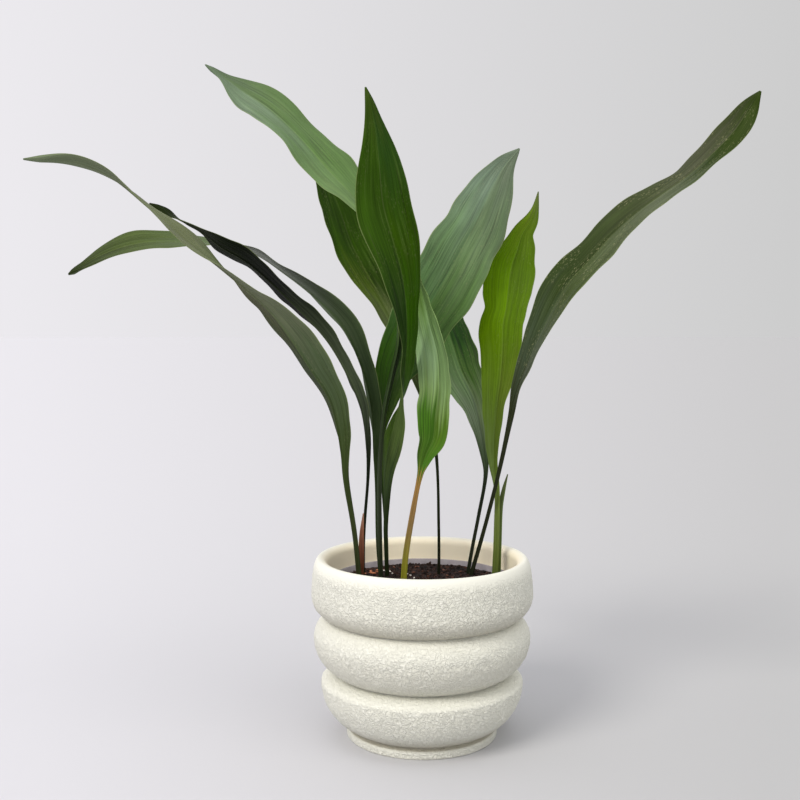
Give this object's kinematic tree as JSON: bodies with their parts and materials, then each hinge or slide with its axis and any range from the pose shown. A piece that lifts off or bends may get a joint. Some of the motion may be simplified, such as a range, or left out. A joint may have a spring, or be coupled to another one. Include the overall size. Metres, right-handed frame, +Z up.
{
  "type": "potted cast iron plant",
  "caption": "House plant with long upright leaves on thin stalks, growing from soil in a round ceramic planter with bulging rings.",
  "frame": {"origin": "centre of the planter's flat underside", "axes": "+Z up along the planter's axis, -Y towards the front, +X to the right seen from the front"},
  "size_m": [0.5809, 0.304, 0.6215],
  "materials": {
    "glazed_ivory": "satin",
    "grey_plastic": "matte",
    "dark_soil": "matte",
    "leaf_front_left": "satin",
    "leaf_left": "satin",
    "leaf_left_drooping": "satin",
    "leaf_tall": "satin",
    "leaf_middle": "satin",
    "leaf_broad": "satin",
    "leaf_young": "satin",
    "leaf_back": "satin",
    "leaf_back_short": "satin",
    "leaf_right": "satin",
    "leaf_front_right": "satin",
    "dry_sheath": "matte",
    "green_sheath": "satin"
  },
  "bodies": {
    "root": {"pot": "glazed_ivory", "nursery_pot": "grey_plastic", "soil": "dark_soil", "leaf_front_left": "leaf_front_left", "leaf_left": "leaf_left", "leaf_left_drooping": "leaf_left_drooping", "leaf_tall": "leaf_tall", "leaf_middle": "leaf_middle", "leaf_broad": "leaf_broad", "leaf_young": "leaf_young", "leaf_back": "leaf_back", "leaf_back_short": "leaf_back_short", "leaf_right": "leaf_right", "leaf_front_right": "leaf_front_right", "sheath_brown": "dry_sheath", "sheath_green": "green_sheath"}
  },
  "joints": []
}
